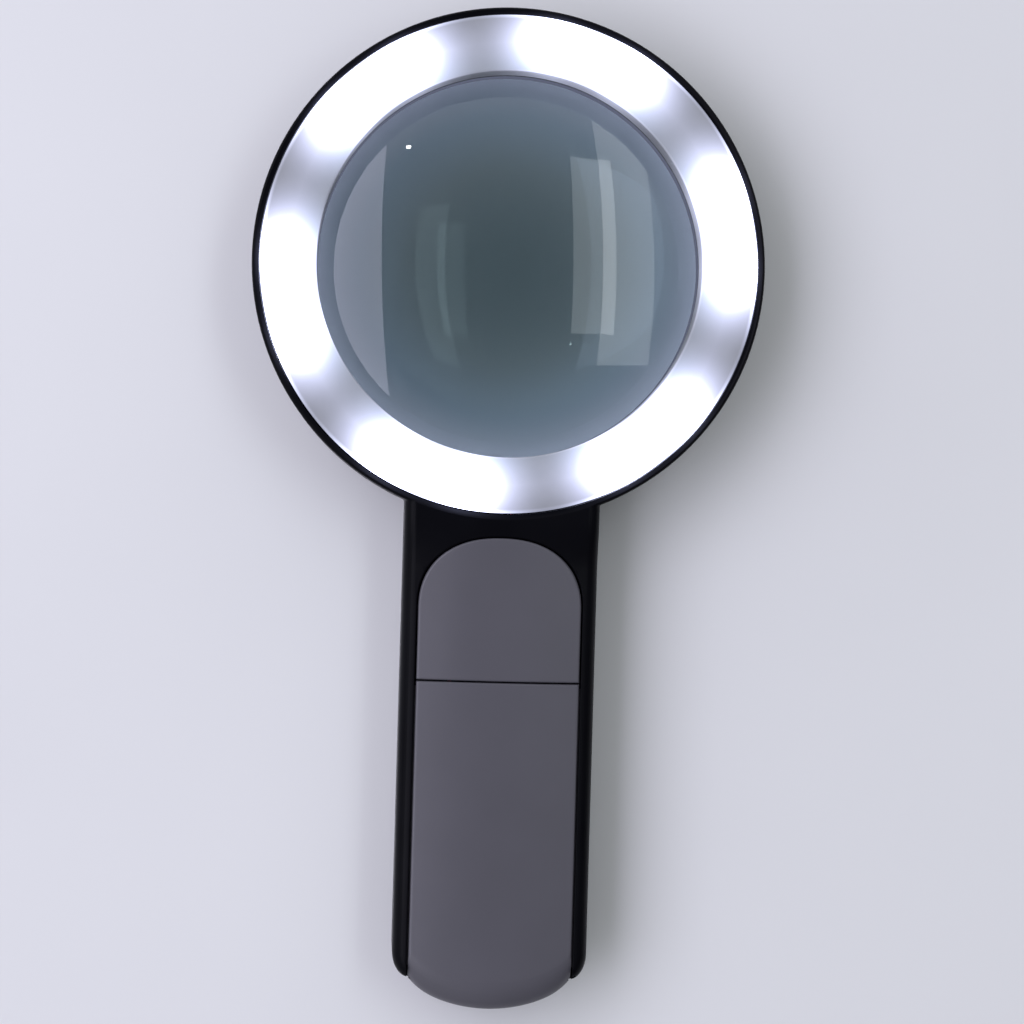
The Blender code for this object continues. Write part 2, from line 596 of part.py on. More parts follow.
def make_screws():
    x, y = HANDLE_SCREW
    make_screw(1, -x, y, HANDLE_SCREW_Z)
    make_screw(2, x, y, HANDLE_SCREW_Z)
    for number, angle in enumerate(HEAD_SCREW_ANGLES, start=3):
        make_screw(number, *head_screw_place(angle), HEAD_SCREW_Z)


def make_battery_wires():
    """From the tray's two solder tabs to the control board. The routes are laid by hand."""
    board_top = CONTROL_Z + BOARD_THICK + GAP + WIRE_RADIUS
    plate_z = TRAY_TOP_Z + 0.0012
    positive = [
        (-0.0110, -0.0404, plate_z), (-0.0108, -0.0380, plate_z), (-0.0095, -0.0350, 0.0128),
        (-0.0082, -0.0325, 0.0112), (-0.0075, -0.0300, board_top), (-0.0072, -0.0280, board_top),
    ]
    negative = [
        (0.0130, -0.0912, 0.0146), (0.0150, -0.0895, 0.0148), (0.0166, -0.0870, 0.0148),
        (0.0168, -0.0640, 0.0148), (0.0166, -0.0420, 0.0146), (0.0148, -0.0385, 0.0138),
        (0.0115, -0.0350, 0.0125), (0.0088, -0.0322, 0.0112), (0.0078, -0.0300, board_top),
        (0.0074, -0.0280, board_top),
    ]
    wire("wire_battery_positive", positive, WIRE_RADIUS, RED_WIRE)
    wire("wire_battery_negative", negative, WIRE_RADIUS, BLACK_WIRE)


def make_led_wires():
    """Three side by side from the control board, up through the slot, to under the LED board."""
    board_top = CONTROL_Z + BOARD_THICK + GAP + WIRE_RADIUS
    under_leds = LED_BOARD_Z - GAP - 2 * WIRE_RADIUS
    rows = (
        ("wire_led_common", -0.0020, BLACK_WIRE),
        ("wire_led_cool", 0.0, WHITE_WIRE),
        ("wire_led_warm", 0.0020, RED_WIRE),
    )
    for name, x, finish in rows:
        route = [
            (x * 1.2, -0.0120, board_top), (x * 1.2, -0.0100, board_top), (x * 1.1, -0.0075, 0.0116),
            (x, -0.0045, under_leds), (x, -0.0010, under_leds), (x, 0.0026, under_leds),
        ]
        wire(name, route, WIRE_RADIUS, finish)


make_front_shell()
make_back_shell()
make_lens()
make_diffuser()
make_lights()
make_front_panel()
make_battery_cover()
make_back_panel()
make_switch()
make_control_board()
make_batteries()
make_screws()
make_battery_wires()
make_led_wires()
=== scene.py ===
"""The looks of the low vision magnifier: fine shells, a glowing ring, the lens and their materials.

Everything is in metres, in the CAD model's own frame: +Z out of the light side, the handle towards -Y.
"""

import json
import math

import bmesh
import bpy
from mathutils import Matrix, Vector


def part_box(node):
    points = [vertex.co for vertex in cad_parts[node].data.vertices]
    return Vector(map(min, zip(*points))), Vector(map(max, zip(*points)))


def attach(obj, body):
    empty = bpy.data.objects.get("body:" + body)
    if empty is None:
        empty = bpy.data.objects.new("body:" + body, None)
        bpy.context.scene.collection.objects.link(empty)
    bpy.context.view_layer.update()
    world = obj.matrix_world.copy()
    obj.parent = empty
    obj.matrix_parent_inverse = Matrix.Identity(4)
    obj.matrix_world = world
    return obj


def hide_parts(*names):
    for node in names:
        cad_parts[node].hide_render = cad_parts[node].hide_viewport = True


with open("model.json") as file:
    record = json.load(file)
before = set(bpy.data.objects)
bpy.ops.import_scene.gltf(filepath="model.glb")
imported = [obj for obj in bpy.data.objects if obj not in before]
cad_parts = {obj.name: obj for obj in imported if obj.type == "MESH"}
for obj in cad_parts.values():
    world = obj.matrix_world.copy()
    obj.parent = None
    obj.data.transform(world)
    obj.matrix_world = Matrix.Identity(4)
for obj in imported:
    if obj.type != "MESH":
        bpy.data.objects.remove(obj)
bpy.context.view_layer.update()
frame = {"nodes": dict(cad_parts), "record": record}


def span(node):
    low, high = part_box(node)
    return Vector(low), Vector(high)


# Places and sizes, read from the frame
RING_LOW, RING_HIGH = span("diffuser_ring")
LENS_LOW, LENS_HIGH = span("lens")
SHELL_LOW, SHELL_HIGH = span("front_shell")
_, BACK_HIGH = span("back_shell")
COVER_LOW, COVER_HIGH = span("battery_cover")
ARCH_LOW, ARCH_HIGH = span("front_panel")
BACK_PANEL_LOW, BACK_PANEL_HIGH = span("back_panel")
BUTTON_LOW, BUTTON_HIGH = span("power_button")
SEAT_LOW, SEAT_HIGH = span("lens_retaining_ring")
HEAD_Y = (RING_LOW.y + RING_HIGH.y) / 2
HEAD_RADIUS = SHELL_HIGH.x
TOP_Z = SHELL_HIGH.z
SPLIT_LOW_Z, SPLIT_HIGH_Z = BACK_HIGH.z, SHELL_LOW.z
RAIL_END_Y, END_Y = SHELL_LOW.y, COVER_LOW.y
PANEL_HALF = ARCH_HIGH.x
BUTTON_Y = (BUTTON_LOW.y + BUTTON_HIGH.y) / 2

# Play between pieces, how far cutters run past what they cut, and how far they sink into a flat face
GAP, OVERCUT, SINK = 0.0003, 0.001, 0.0001

# Casing details that no box gives
HANDLE_HALF = 0.020
HEAD_FILLET, HANDLE_FILLET, NECK_FILLET = 0.0011, 0.0026, 0.0007
RIM_SLOPE_Z, RIM_SLOPE_OUT = 0.01890, 0.0011
SKIRT_GAP, SKIRT_THICK = 0.0009, 0.0006
CROWN, CROWN_START_Y, CROWN_FULL_Y = 0.0020, -0.0008, -0.0120
CROWN_LOW_Z, CROWN_HIGH_Z, CROWN_STEP = 0.0100, 0.0165, 0.0016
CORNER_ACROSS, CORNER_ALONG = 0.0035, 0.0052
SEAM_CHAMFER = 0.00018
WALL_X, CAVITY_END_Y, CAVITY_TOP_Y = 0.0185, -0.0936, -0.0040
FRONT_ROOF_Z, BACK_FLOOR_Z, RECESS_Z = 0.0165, 0.0032, 0.0182
TROUGH_INNER, TROUGH_OUTER, TROUGH_FLOOR_Z = 0.0422, 0.05105, 0.01145
APERTURE, NEST_RADIUS, LIP_Z = 0.0394, 0.0407, 0.01435
BACK_APERTURE, BACK_ROUNDING = 0.0389, 0.0006
HOLLOW_WALL, BEZEL_Z = 0.0015, 0.0014
WIRE_SLOT_HALF, WIRE_SLOT_Y, WIRE_SLOT_Z = 0.0036, 0.0005, 0.0129
ARCH_HEIGHT, ARCH_POWER = 0.0145, 2.26
SOFT_EDGE = 0.00022
BACK_CORNER, BACK_EDGE = 0.006, 0.0003
LENS_CURVE, LENS_BEVEL = 0.140, 0.0003
HEAD_SEGMENTS = 192

# Battery cover, with CAP for the end that closes the handle
PANEL_EDGE, COVER_PLAY = 0.0004, 0.00025
CAP_ARC, CAP_CORNER, CAP_FILLET, CAP_REACH = 0.0320, 0.0014, 0.0034, 0.0068
PLATE_Z, CAP_START_Y = 0.0176, -0.0966
TONGUE_THICK, TONGUE_ROOT = 0.0008, 0.0015
RIB_HALF, RIB_WIDTH, RIB_YS = 0.014, 0.0012, (-0.088, -0.066, -0.044)

# Button
BUTTON_HOLE, BUTTON_RADIUS, BUTTON_FILLET = 0.0068, 0.0063, 0.0006
FLANGE_THICK = 0.0007
BUTTON_RIM, DISH_SLOPE, DISH_EDGE, DISH_DEPTH = 0.0006, 0.0002, 0.0002, 0.0005

# Cells, measured from the flat end, and their springs
CELL_FILLET, SLEEVE_EDGE, END_INSET, END_STEP = 0.0006, 0.0002, 0.0016, 0.0014
SHOULDER, NUB_RADIUS, NUB_BEVEL = 0.0008, 0.0019, 0.0002
SPRING_WIRE, SPRING_TURNS, SPRING_WIDE, SPRING_TAPER = 0.0003, 4, 0.0036, 0.0014

# Lights behind the ring, 20 degrees apart: two lit ones, then a dark one
LED_RING, LED_STEP, DARK_LED = 0.0466, 20, 40
GLOW_PEAK = 9.0


# ---------------------------------------------------------------- mesh helpers
def finished(name, bm):
    bmesh.ops.recalc_face_normals(bm, faces=bm.faces)
    mesh = bpy.data.meshes.new(name)
    bm.to_mesh(mesh)
    bm.free()
    made = bpy.data.objects.new(name, mesh)
    bpy.context.scene.collection.objects.link(made)
    smooth(made)
    return made


def smooth(piece, angle=32):
    piece.data.shade_smooth()
    piece.data.set_sharp_from_angle(angle=math.radians(angle))


def loft(name, sections):
    """A closed solid through outlines of as many points each, anticlockwise and lowest first."""
    bm = bmesh.new()
    rings = [[bm.verts.new(point) for point in section] for section in sections]
    for low, high in zip(rings, rings[1:]):
        for i in range(len(low)):
            j = (i + 1) % len(low)
            bm.faces.new((low[i], low[j], high[j], high[i]))
    bm.faces.new(list(reversed(rings[0])))
    bm.faces.new(rings[-1])
    return finished(name, bm)


def turned(name, profile, centre=(0, 0, 0), segments=HEAD_SEGMENTS, closed=True, turn=Matrix()):
    """A profile of (radius, height), turned about the line through centre and then by turn."""
    bm = bmesh.new()
    rows = []
    for radius, height in profile:
        if radius < 1e-7:
            rows.append([bm.verts.new((0, 0, height))] * segments)
            continue
        angles = [math.tau * i / segments for i in range(segments)]
        rows.append([bm.verts.new((radius * math.cos(a), radius * math.sin(a), height)) for a in angles])
    pairs = list(zip(rows, rows[1:])) + ([(rows[-1], rows[0])] if closed else [])
    for first, second in pairs:
        for i in range(segments):
            j = (i + 1) % segments
            corners = list(dict.fromkeys((first[i], first[j], second[j], second[i])))
            if len(corners) > 2:
                bm.faces.new(corners)
    bmesh.ops.transform(bm, matrix=Matrix.Translation(centre) @ turn, verts=bm.verts)
    return finished(name, bm)


def box_cutter(*spans):
    """One cutter of boxes, each given by its lowest and highest corner."""
    bm = bmesh.new()
    for low, high in spans:
        size = [high[i] - low[i] for i in range(3)]
        middle = [(high[i] + low[i]) / 2 for i in range(3)]
        bmesh.ops.create_cube(bm, size=1, matrix=Matrix.Translation(middle) @ Matrix.Diagonal((*size, 1)))
    return finished("cutter", bm)


def cylinder_cutter(x, y, radius, low_z, high_z):
    profile = [(0, low_z), (radius, low_z), (radius, high_z), (0, high_z)]
    return turned("cutter", profile, (x, y, 0), 64, False)


def cut(piece, *cutters, operation="DIFFERENCE"):
    """Cuts or joins the cutters in turn, leaves plain mesh behind and removes them."""
    for cutter in cutters:
        step = piece.modifiers.new("cut", "BOOLEAN")
        step.operation, step.solver, step.object = operation, "MANIFOLD", cutter
    bpy.context.view_layer.update()
    graph = bpy.context.evaluated_depsgraph_get()
    mesh = bpy.data.meshes.new_from_object(piece.evaluated_get(graph))
    piece.modifiers.clear()
    piece.data = mesh
    for cutter in cutters:
        bpy.data.objects.remove(cutter, do_unlink=True)


def merge_flats(piece):
    """Takes the Boolean cuts' spare edges out of the flat faces."""
    bm = bmesh.new()
    bm.from_mesh(piece.data)
    bmesh.ops.remove_doubles(bm, verts=bm.verts, dist=1e-6)
    bmesh.ops.dissolve_limit(bm, angle_limit=math.radians(0.5), verts=bm.verts, edges=bm.edges)
    bm.to_mesh(piece.data)
    bm.free()


def weigh_shading(piece):
    """Keeps flat faces flat and rounded edges round."""
    smooth(piece)
    weighted = piece.modifiers.new("flat faces stay flat", "WEIGHTED_NORMAL")
    weighted.keep_sharp = True
    weighted.weight = 100


def sliced(bm, axis, places):
    """Cuts the faces of the handle along planes across an axis, so that they can bend there."""
    normal = Vector([float(i == axis) for i in range(3)])
    for place in places:
        faces = [face for face in bm.faces if min(v.co.y for v in face.verts) < CROWN_START_Y]
        edges = {edge for face in faces for edge in face.edges}
        points = {vertex for face in faces for vertex in face.verts}
        cut_through = faces + list(edges | points)
        bmesh.ops.bisect_plane(bm, geom=cut_through, plane_co=normal * place, plane_no=normal, dist=1e-6)


def crown(piece, neck=False):
    """Drops the light side's edges along the handle, so that its face is gently domed across."""
    bm = bmesh.new()
    bm.from_mesh(piece.data)
    count = int(HANDLE_HALF / CROWN_STEP)
    sliced(bm, 0, [i * CROWN_STEP for i in range(-count, count + 1)])
    if neck:
        steps, reach = 8, CROWN_FULL_Y - CROWN_START_Y
        sliced(bm, 1, [CROWN_START_Y + reach * i / steps for i in range(steps + 1)])
    for vertex in bm.verts:
        along = smoothed((CROWN_START_Y - vertex.co.y) / (CROWN_START_Y - CROWN_FULL_Y))
        up = min(max((vertex.co.z - CROWN_LOW_Z) / (CROWN_HIGH_Z - CROWN_LOW_Z), 0), 1)
        vertex.co.z -= CROWN * along * up * min(abs(vertex.co.x) / HANDLE_HALF, 1) ** 2
    bm.to_mesh(piece.data)
    bm.free()


def smoothed(share):
    share = min(max(share, 0), 1)
    return share * share * (3 - 2 * share)


def arc(centre, across, along, start, end, steps):
    """Points on an ellipse's arc, both ends among them, with angles in degrees."""
    angles = [math.radians(start + (end - start) * i / steps) for i in range(steps + 1)]
    return [(centre[0] + across * math.cos(a), centre[1] + along * math.sin(a)) for a in angles]


def raised(outline, z):
    return [(x, y, z) for x, y in outline]


def quarter(radius, steps=6):
    """(inset, depth) pairs down a rounded edge, from the face it runs into."""
    angles = [math.pi / 2 * i / steps for i in range(steps + 1)]
    return [(radius - radius * math.sin(a), radius - radius * math.cos(a)) for a in angles]


# ---------------------------------------------------------------- outlines
def casing_outline(head_inset, handle_inset):
    """Head circle, small neck fillets and handle as one outline, drawn in from full size."""
    radius, half = HEAD_RADIUS - head_inset, HANDLE_HALF - handle_inset
    bend = NECK_FILLET + min(head_inset, handle_inset)
    bend_x = half + bend
    bend_y = HEAD_Y - math.sqrt((radius + bend) ** 2 - bend_x**2)
    meet = math.degrees(math.atan2(bend_y - HEAD_Y, bend_x))
    points = arc((bend_x, bend_y), bend, bend, 180, meet + 180, 6)
    points += arc((0, HEAD_Y), radius, radius, meet, 180 - meet, HEAD_SEGMENTS)[1:-1]
    points += arc((-bend_x, bend_y), bend, bend, -meet, 0, 6)
    across, along = CORNER_ACROSS - handle_inset, CORNER_ALONG - handle_inset
    corner_y = RAIL_END_Y + CORNER_ALONG
    points += arc((across - half, corner_y), across, along, 180, 270, 12)
    points += arc((half - across, corner_y), across, along, 270, 360, 12)
    return points


def arch(half, top_y):
    """The top of a panel, from right to left: rounder than an ellipse."""
    points, steps = [], 48
    for i in range(steps + 1):
        angle = math.pi * i / steps
        side, rise = math.cos(angle), math.sin(angle)
        x = half * math.copysign(abs(side) ** (2 / ARCH_POWER), side)
        points.append((x, top_y - ARCH_HEIGHT + ARCH_HEIGHT * abs(rise) ** (2 / ARCH_POWER)))
    return points


def arch_outline(outset, low_y):
    """The arched panel's outline, or its recess's, grown by outset."""
    half = PANEL_HALF + outset
    return [(half, low_y)] + arch(half, ARCH_HIGH.y + outset) + [(-half, low_y)]


def cover_outline(side_inset, end_inset):
    """The battery cover from above: straight sides, and a shallow arc turned up at its corners."""
    half, high_y, steps = PANEL_HALF - side_inset, COVER_HIGH.y - side_inset, 48
    points = [(half, high_y), (-half, high_y)]
    for i in range(steps + 1):
        share = -math.cos(math.pi * i / steps)
        rise = CAP_ARC - math.sqrt(CAP_ARC**2 - (half * share) ** 2) + CAP_CORNER * share**8
        points.append((half * share, END_Y + end_inset + rise))
    return points


def back_panel_outline(outset):
    half, end_y, corner = BACK_PANEL_HIGH.x + outset, BACK_PANEL_LOW.y - outset, BACK_CORNER
    left = arc((corner - half, end_y + corner), corner, corner, 180, 270, 12)
    right = arc((half - corner, end_y + corner), corner, corner, 270, 360, 12)
    return arch(half, BACK_PANEL_HIGH.y + outset) + left + right


def flared(outline_at, low_z, top_z):
    """A cutter that leaves a rounded edge where it comes out of the face at top_z."""
    rows = [raised(outline_at(0), low_z)]
    for inset, depth in reversed(quarter(SOFT_EDGE, 4)):
        rows.append(raised(outline_at(inset), top_z - depth))
    return loft("cutter", rows + [raised(outline_at(SOFT_EDGE), top_z + OVERCUT)])


# ---------------------------------------------------------------- casing
def casing_levels(face_z, split_z, direction):
    """Outlines from the split to the outer face, with a fine chamfer at the seam."""
    depths = sorted({d for _, d in quarter(HANDLE_FILLET, 9)} | {d for _, d in quarter(HEAD_FILLET, 6)})
    rows = [(split_z, SEAM_CHAMFER, SEAM_CHAMFER), (split_z + direction * SEAM_CHAMFER, 0, 0)]
    for depth in reversed(depths):
        insets = [inset_at(radius, depth) for radius in (HEAD_FILLET, HANDLE_FILLET)]
        rows.append((face_z - direction * depth, *insets))
    rows.sort()
    return [raised(casing_outline(head, handle), z) for z, head, handle in rows]


def inset_at(radius, depth):
    return radius - math.sqrt(radius**2 - max(radius - depth, 0) ** 2)


def make_front_casing():
    shell = loft("front_casing", casing_levels(TOP_Z, SPLIT_HIGH_Z, 1))
    over, under = TOP_Z + OVERCUT, SPLIT_HIGH_Z - OVERCUT
    slope_end, lip = TROUGH_OUTER + RIM_SLOPE_OUT, APERTURE + SKIRT_GAP
    well = [
        (0, over), (slope_end, over), (slope_end, TOP_Z), (TROUGH_OUTER, RIM_SLOPE_Z),
        (TROUGH_OUTER, TROUGH_FLOOR_Z), (TROUGH_INNER, TROUGH_FLOOR_Z), (TROUGH_INNER, RECESS_Z),
        (lip, RECESS_Z), (lip, LIP_Z), (NEST_RADIUS, LIP_Z), (NEST_RADIUS, under), (0, under),
    ]
    opening, low_y, high_y = PANEL_HALF + COVER_PLAY, RAIL_END_Y - OVERCUT, COVER_HIGH.y + 2 * GAP
    groove, side, end_y = COVER_HIGH.x + GAP, opening - OVERCUT, low_y - 2 * OVERCUT
    groove_low, groove_high = PLATE_Z - GAP, PLATE_Z + TONGUE_THICK + GAP
    opening_low = (-opening, low_y - OVERCUT, FRONT_ROOF_Z - SINK)
    cut(
        shell,
        box_cutter(((-WALL_X, CAVITY_END_Y, under), (WALL_X, CAVITY_TOP_Y, FRONT_ROOF_Z))),
        turned("cutter", well, (0, HEAD_Y, 0), closed=False),
        flared(lambda grown: arch_outline(GAP + grown, low_y), RECESS_Z, TOP_Z),
        box_cutter((opening_low, (opening, high_y, RECESS_Z + 2 * SINK))),
        box_cutter(
            ((side, end_y, groove_low), (groove, COVER_HIGH.y, groove_high)),
            ((-groove, end_y, groove_low), (-side, COVER_HIGH.y, groove_high)),
        ),
        box_cutter((
            (-WIRE_SLOT_HALF, CAVITY_TOP_Y - OVERCUT, under),
            (WIRE_SLOT_HALF, WIRE_SLOT_Y, WIRE_SLOT_Z),
        )),
    )
    merge_flats(shell)
    crown(shell, neck=True)
    weigh_shading(shell)
    return shell


def make_back_casing():
    shell = loft("back_casing", casing_levels(0, SPLIT_LOW_Z, -1))
    over, under, rounding = SPLIT_LOW_Z + OVERCUT, -OVERCUT, BACK_ROUNDING
    aperture = [(0, over), (BACK_APERTURE, over)]
    aperture += [(BACK_APERTURE + inset, depth) for inset, depth in reversed(quarter(rounding))]
    aperture += [(BACK_APERTURE + rounding, under), (0, under)]
    outer, inner = HEAD_RADIUS - HOLLOW_WALL, BACK_APERTURE + HOLLOW_WALL
    hollow = [(outer, over), (outer, BEZEL_Z), (inner, BEZEL_Z), (inner, over)]
    recess = [raised(back_panel_outline(GAP + SOFT_EDGE), under)]
    recess += [raised(back_panel_outline(GAP + inset), depth) for inset, depth in quarter(SOFT_EDGE, 4)]
    recess.append(raised(back_panel_outline(GAP), BACK_PANEL_HIGH.z + GAP))
    cut(
        shell,
        turned("cutter", aperture, (0, HEAD_Y, 0), closed=False),
        turned("cutter", hollow, (0, HEAD_Y, 0)),
        box_cutter(((-WALL_X, CAVITY_END_Y, BACK_FLOOR_Z), (WALL_X, CAVITY_TOP_Y, over))),
        loft("cutter", recess),
        cylinder_cutter(0, BUTTON_Y, BUTTON_HOLE, under, BACK_FLOOR_Z + OVERCUT),
    )
    merge_flats(shell)
    weigh_shading(shell)
    return shell


# ---------------------------------------------------------------- ring and lens
def make_light_ring():
    """The diffuser: a proud, softly rounded face, two ribs in the trough and a skirt down to the lens."""
    outer, top, soft = RING_HIGH.x, RING_HIGH.z, 0.0005
    rib, low, under = 0.0011, RING_LOW.z, RING_HIGH.z - 0.0015
    inner_rib, seat, skirt = TROUGH_INNER + GAP, RECESS_Z + GAP, APERTURE + SKIRT_THICK
    profile = [(outer - inset, top - depth) for inset, depth in quarter(soft)]
    profile += [(outer, low), (outer - rib, low), (outer - rib, under)]
    profile += [(inner_rib + rib, under), (inner_rib + rib, low), (inner_rib, low), (inner_rib, seat)]
    profile += [(skirt, seat), (skirt, LIP_Z), (APERTURE, LIP_Z)]
    profile += [(APERTURE + inset, top - depth) for inset, depth in reversed(quarter(soft))]
    return turned("light_ring", profile, (0, HEAD_Y, 0))


def make_lens():
    radius, middle = LENS_HIGH.x, (LENS_LOW.z + LENS_HIGH.z) / 2
    apex, rings, bevel = LENS_HIGH.z - middle, 40, LENS_BEVEL

    def side(r):
        return apex - (LENS_CURVE - math.sqrt(LENS_CURVE**2 - r**2))

    radii = [(radius - bevel) * i / rings for i in range(rings + 1)]
    edge = side(radius - bevel) - bevel
    profile = [(r, side(r)) for r in radii] + [(radius, edge), (radius, -edge)]
    profile += [(r, -side(r)) for r in reversed(radii)]
    return turned("lens_glass", profile, (0, HEAD_Y, middle), closed=False)


def make_seat_ring():
    inner, outer, low, high = APERTURE, SEAT_HIGH.x, SEAT_LOW.z, SEAT_HIGH.z
    soft = 0.00025
    profile = [(outer, high), (outer, low), (inner + soft, low)]
    profile += [(inner + inset, low + depth) for inset, depth in quarter(soft, 4)]
    profile += [(inner + inset, high - depth) for inset, depth in reversed(quarter(soft, 4))]
    return turned("lens_seat_ring", profile, (0, HEAD_Y, 0))


# ---------------------------------------------------------------- panels
def make_arch_panel():
    low_y = ARCH_LOW.y

    def row(inset, z):
        return raised([(x, max(y, low_y + inset)) for x, y in arch_outline(-inset, low_y + inset)], z)

    rows = [row(0, ARCH_LOW.z)]
    rows += [row(inset, ARCH_HIGH.z - depth) for inset, depth in reversed(quarter(PANEL_EDGE, 5))]
    panel = loft("arch_panel", rows)
    crown(panel)
    weigh_shading(panel)
    return panel


def make_battery_lid():
    low_z, high_z = COVER_LOW.z, COVER_HIGH.z
    depths = sorted({d for _, d in quarter(CAP_FILLET, 10)} | {d for _, d in quarter(PANEL_EDGE, 4)})
    stretch = CAP_REACH / CAP_FILLET
    levels = [(low_z + depth, depth, 1) for depth in depths]
    levels += [(high_z - depth, depth, stretch) for depth in reversed(depths)]
    rows = []
    for z, depth, reach in levels:
        outline = cover_outline(inset_at(PANEL_EDGE, depth), reach * inset_at(CAP_FILLET, depth))
        rows.append(raised(outline, z))
    lid = loft("battery_lid", rows)
    half, inner = PANEL_HALF + OVERCUT, PANEL_HALF - TONGUE_ROOT
    under_plate = (-half, CAP_START_Y, low_z - OVERCUT), (half, COVER_HIGH.y + OVERCUT, PLATE_Z)
    cut(lid, box_cutter(under_plate))
    low_y, high_y = CAP_START_Y + 0.003, COVER_HIGH.y - 0.001
    low, high = PLATE_Z + SINK, PLATE_Z + TONGUE_THICK
    tongues = box_cutter(
        ((inner, low_y, low), (COVER_HIGH.x, high_y, high)),
        ((-COVER_HIGH.x, low_y, low), (-inner, high_y, high)),
    )
    rib_low, rib_high = PLATE_Z - 0.0008, PLATE_Z + 0.0004
    ribs = box_cutter(*[
        ((-RIB_HALF, y, rib_low), (RIB_HALF, y + RIB_WIDTH, rib_high)) for y in RIB_YS
    ])
    cut(lid, tongues, ribs, operation="UNION")
    merge_flats(lid)
    crown(lid)
    weigh_shading(lid)
    return lid


def make_back_plate():
    low, high = BACK_PANEL_LOW.z, BACK_PANEL_HIGH.z
    rows = [raised(back_panel_outline(-inset), low + depth) for inset, depth in quarter(BACK_EDGE, 4)]
    plate = loft("back_plate", rows + [raised(back_panel_outline(0), high)])
    cut(plate, cylinder_cutter(0, BUTTON_Y, BUTTON_HOLE, low - OVERCUT, high + OVERCUT))
    merge_flats(plate)
    weigh_shading(plate)
    return plate


def make_button():
    """A dished button with a fine raised ring round its face, and the flange that holds it in."""
    low, high = BUTTON_LOW.z, BUTTON_HIGH.z
    flange, radius, flange_z = BUTTON_HIGH.x, BUTTON_RADIUS, high - FLANGE_THICK
    profile = [(0, high), (flange, high), (flange, flange_z), (radius, flange_z)]
    profile += [(radius - inset, low + depth) for inset, depth in reversed(quarter(BUTTON_FILLET))]
    rim = radius - BUTTON_FILLET
    dish = rim - BUTTON_RIM - DISH_SLOPE
    profile += [(rim - BUTTON_RIM, low), (dish, low + DISH_EDGE)]
    for share in (0.7, 0.5, 0.3, 0.15):
        deeper = (DISH_DEPTH - DISH_EDGE) * (1 - (rim * share / dish) ** 2)
        profile.append((rim * share, low + DISH_EDGE + deeper))
    profile.append((0, low + DISH_DEPTH))
    return turned("thumb_button", profile, (0, BUTTON_Y, 0), 96, closed=False)


# ---------------------------------------------------------------- batteries
def make_cell(number):
    """An AAA cell: crimped sleeve, insulating shoulder and nub, all one turned piece along Y."""
    low, high = span(f"battery_{number}")
    middle = (low + high) / 2
    radius, length = (high.x - low.x) / 2, high.y - low.y
    points_up = number != 2
    case, nub, soft = length - SHOULDER, NUB_RADIUS, CELL_FILLET
    profile = [(0, 0), (radius - END_INSET, 0), (radius - END_STEP, SLEEVE_EDGE)]
    profile += [(radius - soft, SLEEVE_EDGE)]
    profile += [(radius - inset, SLEEVE_EDGE + depth) for inset, depth in quarter(soft, 5)][1:]
    profile += [(radius, case - soft)]
    profile += [(radius - inset, case - depth) for inset, depth in reversed(quarter(soft, 5))][1:]
    washer = [(0.0012, 0.0001), (0.0009, 0.0004), (0.0001, 0.0004)]
    profile += [(nub + outward, case - depth) for outward, depth in washer]
    profile += [(nub, length - NUB_BEVEL), (nub - NUB_BEVEL, length), (0, length)]
    turn = Matrix.Rotation(math.radians(-90 if points_up else 90), 4, "X")
    base_y = low.y if points_up else high.y
    return turned(f"aaa_cell_{number}", profile, (middle.x, base_y, middle.z), 64, False, turn)


def make_spring(number):
    """A cone of wire, wound evenly and capped at both ends, where the CAD's spring is."""
    low, high = span(f"battery_spring_{number}")
    cell_low, _ = span(f"battery_{number}")
    from_handle_end = low.y < cell_low.y
    middle, wire, per_turn = (low + high) / 2, SPRING_WIRE, 24
    count = SPRING_TURNS * per_turn
    curve = bpy.data.curves.new(f"contact_spring_{number}", "CURVE")
    curve.dimensions, curve.bevel_depth, curve.bevel_resolution = "3D", wire, 3
    curve.use_fill_caps = True
    spline = curve.splines.new("POLY")
    spline.points.add(count)
    length = (high.y - low.y) - 2 * wire
    for i, point in enumerate(spline.points):
        share = i / count
        radius = SPRING_WIDE - SPRING_TAPER * share
        turn = math.tau * i / per_turn
        along = length * (share if from_handle_end else 1 - share)
        x, z = middle.x + radius * math.cos(turn), middle.z + radius * math.sin(turn)
        point.co = (x, low.y + wire + along, z, 1)
    guide = bpy.data.objects.new("guide", curve)
    bpy.context.scene.collection.objects.link(guide)
    graph = bpy.context.evaluated_depsgraph_get()
    mesh = bpy.data.meshes.new_from_object(guide.evaluated_get(graph))
    bpy.data.objects.remove(guide, do_unlink=True)
    made = bpy.data.objects.new(f"contact_spring_{number}", mesh)
    bpy.context.scene.collection.objects.link(made)
    smooth(made, 60)
    return made


